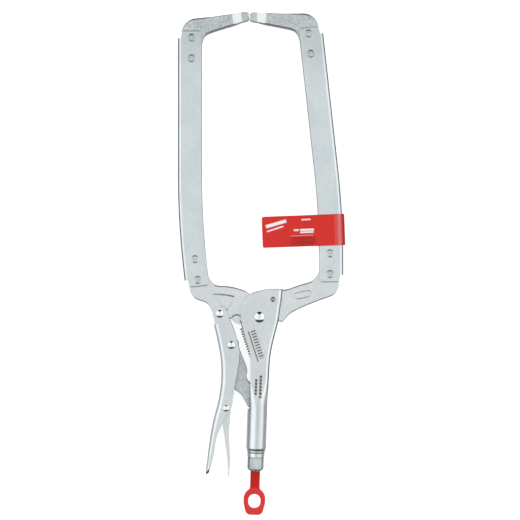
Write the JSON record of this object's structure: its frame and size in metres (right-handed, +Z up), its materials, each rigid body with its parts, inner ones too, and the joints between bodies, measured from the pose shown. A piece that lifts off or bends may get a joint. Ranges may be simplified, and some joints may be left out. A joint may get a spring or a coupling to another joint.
{
  "type": "locking c clamp",
  "caption": "Deep-throat locking C clamp with bent channel arms, compound-lever handles, an adjusting screw with a thumb ring and a card on one arm.",
  "frame": {"origin": "centre of the clamp's footprint, on the surface it lies flat on", "axes": "+Y from the thumb ring to the jaw tips, +X from the moving arm to the fixed arm, +Z up through the clamp's thickness"},
  "size_m": [0.1516, 0.4569, 0.0207],
  "materials": {
    "plated_steel": "satin zinc plate",
    "dark_steel": "satin",
    "rivet_steel": "polished",
    "red_coat": "semi-gloss",
    "red_card": "coated card"
  },
  "bodies": {
    "fixed_side": {"fixed_handle": "plated_steel", "end_sleeve": "plated_steel", "fixed_jaw_plate": "plated_steel", "fixed_arm_channel": "plated_steel", "fixed_jaw_tip": "plated_steel", "fixed_rivet_1": "rivet_steel", "fixed_rivet_2": "rivet_steel", "fixed_rivet_3": "rivet_steel", "fixed_rivet_4": "rivet_steel", "head_pin": "rivet_steel", "main_pivot_rivet": "rivet_steel", "spring_anchor_pin": "rivet_steel", "card_sleeve": "red_card", "return_spring": "dark_steel"},
    "moving_jaw": {"moving_jaw_plate": "plated_steel", "moving_arm_channel": "plated_steel", "moving_jaw_tip": "plated_steel", "moving_rivet_1": "rivet_steel", "moving_rivet_2": "rivet_steel", "moving_rivet_3": "rivet_steel", "moving_rivet_4": "rivet_steel", "lever_pivot_rivet": "rivet_steel"},
    "moving_lever": {"moving_handle": "plated_steel", "link_rivet": "rivet_steel", "release_rivet": "rivet_steel"},
    "link": {"toggle_link": "dark_steel"},
    "release": {"release_lever": "plated_steel"},
    "nose": {"nose_pad": "dark_steel"},
    "screw": {"adjusting_screw": "plated_steel", "thumb_ring": "red_coat"}
  },
  "joints": [
    {"name": "jaw_swing", "type": "hinge", "parent": "fixed_side", "child": "moving_jaw", "pos_m": [-0.002, -0.04847, 0.01035], "axis": [0, 0, 1], "range_deg": [0, 20], "deforming": ["return_spring"]},
    {"name": "lever_swing", "type": "hinge", "parent": "moving_jaw", "child": "moving_lever", "pos_m": [-0.0379, -0.04547, 0.01035], "axis": [0, 0, 1], "range_deg": [-62, 0]},
    {"name": "link_swing", "type": "hinge", "parent": "moving_lever", "child": "link", "pos_m": [-0.0274, -0.07367, 0.01035], "axis": [0, 0, 1], "range_deg": [0, 66]},
    {"name": "release_swing", "type": "hinge", "parent": "moving_lever", "child": "release", "pos_m": [-0.0322, -0.13087, 0.01035], "axis": [0, 0, 1], "range_deg": [-12, 0]},
    {"name": "screw_advance", "type": "slide", "parent": "fixed_side", "child": "nose", "axis": [-0.0332, -0.9995, 0], "range_m": [0, 0.028]},
    {"name": "screw_spin", "type": "hinge", "parent": "nose", "child": "screw", "pos_m": [-0.0045, -0.15137, 0.01035], "axis": [-0.0332, -0.9995, 0], "range_deg": [0, 6720]}
  ],
  "couplings": [
    {"joint": "lever_swing", "follows": "jaw_swing", "ratio": -3.065},
    {"joint": "link_swing", "follows": "jaw_swing", "ratio": 3.273},
    {"joint": "screw_spin", "follows": "screw_advance", "rad_per_m": 4188.8}
  ]
}
